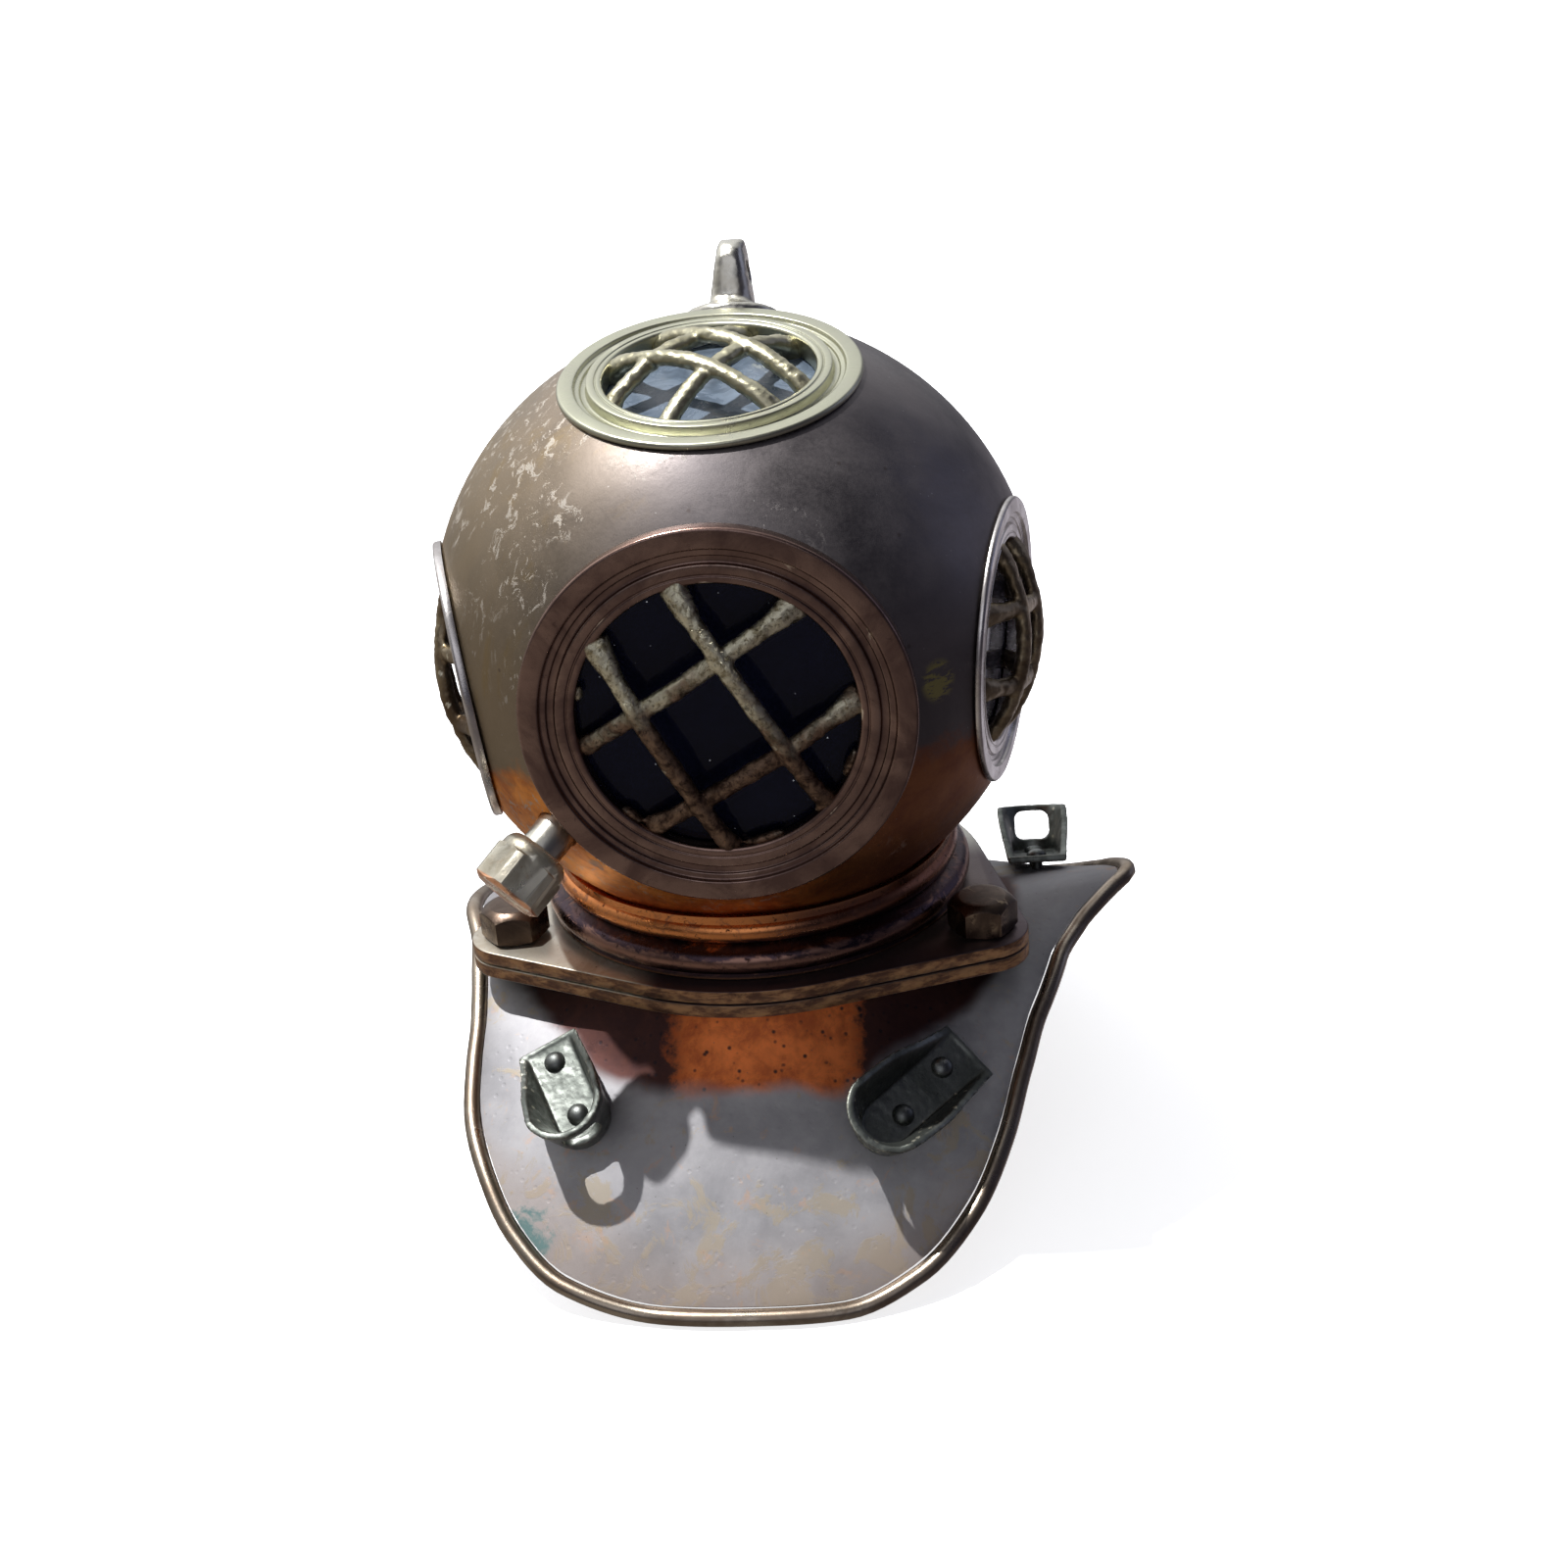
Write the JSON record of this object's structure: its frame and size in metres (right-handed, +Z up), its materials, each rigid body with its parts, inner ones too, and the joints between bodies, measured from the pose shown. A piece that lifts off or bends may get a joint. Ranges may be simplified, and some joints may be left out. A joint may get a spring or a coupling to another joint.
{
  "type": "bubbling ornament",
  "caption": "Miniature copper and brass diving helmet with barred windows, a bolted flange and an air inlet, standing on its flared corselet.",
  "frame": {"origin": "on the floor plane, at the centre of the bounding box in X and Y", "axes": "+Z up, -Y towards the front window, +X towards the drawn-out shoulder"},
  "size_m": [0.1189, 0.1416, 0.148],
  "materials": {
    "bonnet_copper": "satin, dull brown copper patina",
    "collar_copper": "polished orange copper",
    "corselet_copper": "satin grey-brown copper, orange at the neck",
    "window_bronze": "satin dark bronze",
    "window_brass": "satin pale brass",
    "grille_brass": "rough cast brass",
    "flange_brass": "satin brass",
    "fitting_brass": "turned pale brass",
    "cast_brass": "rough cast, grey-green patina",
    "bolt_bronze": "dark bronze",
    "bead_brass": "satin brass",
    "rivet_bronze": "dark bronze",
    "window_glass": "dark, clear",
    "gasket_rubber": "matt black",
    "washer_fibre": "matt red-brown"
  },
  "bodies": {
    "corselet_unit": {"corselet": "corselet_copper", "corselet_rim_bead": "bead_brass", "corselet_flange": "flange_brass", "flange_gasket": "gasket_rubber", "left_hook_bracket": "cast_brass", "right_hook_bracket": "cast_brass", "shoulder_bracket": "cast_brass", "left_hook_upper_rivet": "rivet_bronze", "left_hook_lower_rivet": "rivet_bronze", "right_hook_upper_rivet": "rivet_bronze", "right_hook_lower_rivet": "rivet_bronze", "shoulder_upper_rivet": "rivet_bronze", "shoulder_lower_rivet": "rivet_bronze"},
    "bonnet_unit": {"bonnet_shell": "bonnet_copper", "neck_collar": "collar_copper", "bonnet_flange": "flange_brass", "front_window_ring": "window_bronze", "front_grille": "grille_brass", "front_window_glass": "window_glass", "front_glass_retainer": "window_brass", "top_window_ring": "window_brass", "top_grille": "grille_brass", "top_window_glass": "window_glass", "top_glass_retainer": "window_brass", "left_window_ring": "window_brass", "left_grille": "grille_brass", "left_window_glass": "window_glass", "left_glass_retainer": "window_brass", "right_window_ring": "window_brass", "right_grille": "grille_brass", "right_window_glass": "window_glass", "right_glass_retainer": "window_brass", "crown_lug": "fitting_brass", "inlet_spigot": "fitting_brass", "inlet_washer": "washer_fibre"},
    "left_bolt": {"left_flange_bolt": "bolt_bronze", "left_bolt_shank": "bolt_bronze"},
    "right_bolt": {"right_flange_bolt": "bolt_bronze", "right_bolt_shank": "bolt_bronze"},
    "rear_bolt": {"rear_flange_bolt": "bolt_bronze", "rear_bolt_shank": "bolt_bronze"},
    "inlet_nut": {"inlet_union_nut": "fitting_brass"}
  },
  "joints": [
    {"name": "bonnet_lift", "type": "slide", "parent": "corselet_unit", "child": "bonnet_unit", "axis": [0, 0, 1], "range_m": [0, 0.04]},
    {"name": "left_bolt_turn", "type": "hinge", "parent": "bonnet_unit", "child": "left_bolt", "pos_m": [-0.0469, -0.01719, 0.0421], "axis": [0, 0, 1], "continuous": true},
    {"name": "right_bolt_turn", "type": "hinge", "parent": "bonnet_unit", "child": "right_bolt", "pos_m": [0.03208, -0.02133, 0.0421], "axis": [0, 0, 1], "continuous": true},
    {"name": "rear_bolt_turn", "type": "hinge", "parent": "bonnet_unit", "child": "rear_bolt", "pos_m": [-0.0041, 0.04394, 0.0421], "axis": [0, 0, 1], "continuous": true},
    {"name": "inlet_nut_turn", "type": "hinge", "parent": "bonnet_unit", "child": "inlet_nut", "pos_m": [-0.0394, -0.04243, 0.06528], "axis": [-0.6102, -0.5501, -0.5701], "continuous": true}
  ]
}
